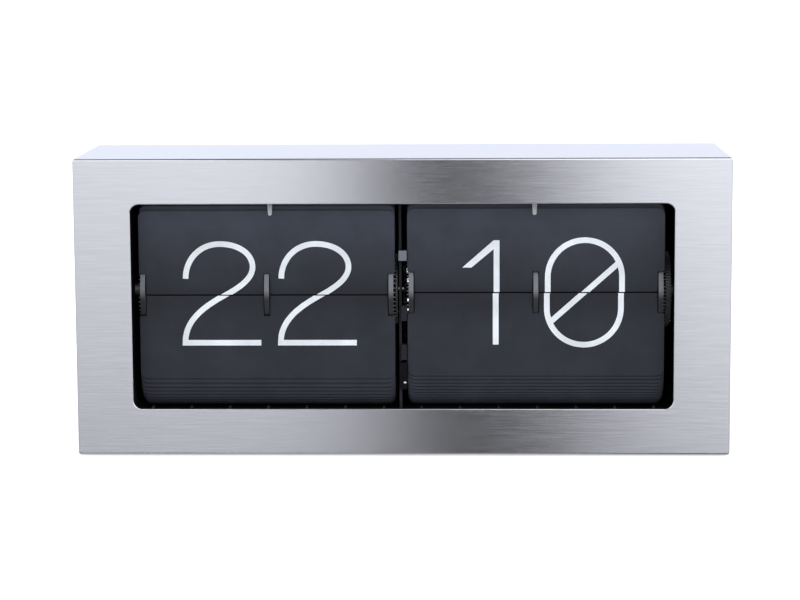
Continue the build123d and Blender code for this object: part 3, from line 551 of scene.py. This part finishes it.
def print_half(name, group, body, node, figures, keep_upper, rear=False):
    """Half of a number in ink on a leaf's front, or on its rear for when it has fallen."""
    falling_low, falling_high = [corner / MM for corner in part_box(group + "_falling_leaf")]
    lower_low, lower_high = [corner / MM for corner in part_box(group + "_lower_leaf")]
    split = (falling_low.z + lower_high.z) / 2
    middle = (falling_low.x + falling_high.x) / 2
    on_upper_leaf = keep_upper or rear
    low, high = (falling_low.z, falling_high.z) if on_upper_leaf else (lower_low.z, lower_high.z)
    base, slope = leaf_line(node, low, high, rear)
    normal = Vector((0.0, -1.0, slope)).normalized() * (-1 if rear else 1)
    joint = next(joint for joint in frame["joints"] if joint["name"] == group + "_leaf_fall")
    hinge = joint["pos_m"][2] / MM
    mesh = half_number(figures, FIGURE_X[group], keep_upper)
    for vertex in mesh.verts:
        x, z, lift = vertex.co
        height = 2 * hinge - split - z if rear else split + z
        on_face = Vector((middle + x, base.y + slope * (height - base.z), height))
        vertex.co = (on_face + normal * (INK_LIFT + lift)) * MM
    bmesh.ops.recalc_face_normals(mesh, faces=mesh.faces[:])
    data = bpy.data.meshes.new(name)
    mesh.to_mesh(data)
    mesh.free()
    piece = bpy.data.objects.new(name, data)
    bpy.context.scene.collection.objects.link(piece)
    data.materials.append(INK)
    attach(piece, body)


# Each group's number now, and the one after the leaf has fallen
NUMBERS = {
    "hour": ((two(), two()), (two(), three())),
    "minute": ((one(), zero()), (one(), one())),
}
for group, (now, following) in NUMBERS.items():
    leaf, leaf_body = group + "_falling_leaf", group + "_leaf"
    print_half(group + "_ink_upper", group, leaf_body, leaf, now, True)
    print_half(group + "_ink_rear", group, leaf_body, leaf, following, False, rear=True)
    print_half(group + "_ink_lower", group, "case", group + "_lower_leaf", now, False)
    standing = group + "_standing_leaves"
    print_half(group + "_ink_following", group, "case", standing, following, True)


# ------------------------------------------------------------ floor and light


def softbox():
    """A soft rectangular light from above, hidden from direct view and from reflections."""
    data = bpy.data.lights.new("top softbox", "AREA")
    data.shape = "RECTANGLE"
    data.size, data.size_y = SOFTBOX_SIZE
    data.energy = SOFTBOX_POWER
    data.color = SOFTBOX_COLOR
    light = bpy.data.objects.new("top softbox", data)
    light.location = SOFTBOX_PLACE
    beam = Vector(SOFTBOX_AIM) - Vector(SOFTBOX_PLACE)
    light.rotation_euler = beam.to_track_quat("-Z", "Y").to_euler()
    light.visible_camera = False
    light.visible_glossy = False
    bpy.context.scene.collection.objects.link(light)


def floor():
    """A plain pale floor that bounced and mirrored rays pass through."""
    reach = FLOOR_REACH
    corners = [(-reach, -reach, 0), (reach, -reach, 0), (reach, reach, 0), (-reach, reach, 0)]
    mesh = bpy.data.meshes.new("floor")
    mesh.from_pydata(corners, [], [(0, 1, 2, 3)])
    piece = bpy.data.objects.new("floor", mesh)
    bpy.context.scene.collection.objects.link(piece)
    material, shader = new_material("floor", FLOOR_COLOR, 0.0, FLOOR_ROUGHNESS)
    shader.inputs["Specular IOR Level"].default_value = FLOOR_GLOSS
    shader.inputs["Emission Color"].default_value = (1.0, 1.0, 1.0, 1.0)
    shader.inputs["Emission Strength"].default_value = FLOOR_GLOW
    piece.data.materials.append(material)
    piece.visible_glossy = False
    piece.visible_diffuse = False


def dark_gap(tree, azimuth, slope):
    """The sky's brightness across the front, with a leaning dark gap in it."""
    drop = math_node(tree, "SUBTRACT", slope, SKY_BAND_LEVEL)
    lean = math_node(tree, "MULTIPLY", drop, SKY_BAND_LEAN)
    leaning = math_node(tree, "ADD", azimuth, lean)
    share = math_node(tree, "MULTIPLY", leaning, 0.5 / SKY_BAND_REACH)
    share = math_node(tree, "ADD", share, 0.5)
    share = math_node(tree, "MAXIMUM", share, 0.0)
    share = math_node(tree, "MINIMUM", share, 1.0)
    band = tree.nodes.new("ShaderNodeFloatCurve")
    tree.links.new(share, band.inputs["Value"])
    curve = band.mapping.curves[0]
    curve.points[0].location = (0.0, SKY_BAND[0][1] / SKY_BAND_SCALE)
    curve.points[-1].location = (1.0, SKY_BAND[-1][1] / SKY_BAND_SCALE)
    for angle, level in SKY_BAND:
        curve.points.new(0.5 + 0.5 * angle / SKY_BAND_REACH, level / SKY_BAND_SCALE)
    band.mapping.update()
    return math_node(tree, "MULTIPLY", band.outputs["Value"], SKY_BAND_SCALE)


def world():
    """A studio sky: bright above and behind, a dark gap in front, a pale floor in mirrors."""
    sky = bpy.data.worlds.new("studio")
    sky.use_nodes = True
    tree = sky.node_tree
    place = tree.nodes.new("ShaderNodeTexCoord")
    way = tree.nodes.new("ShaderNodeSeparateXYZ")
    tree.links.new(place.outputs["Generated"], way.inputs["Vector"])
    x, y, z = way.outputs
    azimuth = math_node(tree, "ARCTAN2", x, math_node(tree, "MULTIPLY", y, -1.0))
    squares = math_node(tree, "MULTIPLY", x, x)
    squares = math_node(tree, "ADD", squares, math_node(tree, "MULTIPLY", y, y))
    distance = math_node(tree, "MAXIMUM", math_node(tree, "SQRT", squares), SKY_LEAST_DISTANCE)
    slope = math_node(tree, "DIVIDE", z, distance)
    mirrored = tree.nodes.new("ShaderNodeLightPath").outputs["Is Glossy Ray"]
    below = ramp_node(tree, slope, *SKY_BELOW, *SKY_BELOW_END)
    below = math_node(tree, "MULTIPLY", below, mirrored)
    height = math_node(tree, "ADD", ramp_node(tree, slope, *SKY_LOW, *SKY_HIGH), below)
    ahead = math_node(tree, "MULTIPLY", dark_gap(tree, azimuth, slope), height)
    behind = math_node(tree, "GREATER_THAN", y, 0.0)
    seen = math_node(tree, "MULTIPLY", ahead, math_node(tree, "SUBTRACT", 1.0, behind))
    rear = ramp_node(tree, slope, *SKY_BEHIND_LOW, *SKY_BEHIND_HIGH)
    rear = math_node(tree, "MULTIPLY", math_node(tree, "MULTIPLY", behind, SKY_BEHIND), rear)
    start, end, overhead = SKY_ZENITH
    lit = ramp_node(tree, slope, start, 1.0, end, overhead)
    level = math_node(tree, "MULTIPLY", math_node(tree, "ADD", seen, rear), lit)
    color = tree.nodes.new("ShaderNodeValToRGB")
    for element, shade in zip(color.color_ramp.elements, SKY_COLORS):
        element.color = (*shade, 1.0)
    background = tree.nodes["Background"]
    tree.links.new(behind, color.inputs["Fac"])
    tree.links.new(color.outputs["Color"], background.inputs["Color"])
    tree.links.new(level, background.inputs["Strength"])
    bpy.context.scene.world = sky
    bpy.context.scene.view_settings.view_transform = "Standard"


def camera():
    """The photograph's viewpoint, with a small lens shift."""
    data = bpy.data.cameras.new("camera")
    data.lens = CAMERA_LENS
    data.sensor_width = CAMERA_SENSOR
    data.shift_y = CAMERA_SHIFT
    data.clip_end = CAMERA_FAR
    view = bpy.data.objects.new("camera", data)
    bpy.context.scene.collection.objects.link(view)
    yaw = Matrix.Rotation(math.radians(CAMERA_YAW), 4, "Z")
    pitch = Matrix.Rotation(math.radians(90 + CAMERA_PITCH), 4, "X")
    roll = Matrix.Rotation(math.radians(CAMERA_ROLL), 4, "Z")
    view.matrix_world = Matrix.Translation(Vector(CAMERA_PLACE) * MM) @ yaw @ pitch @ roll
    bpy.context.scene.camera = view


floor()
world()
camera()
softbox()
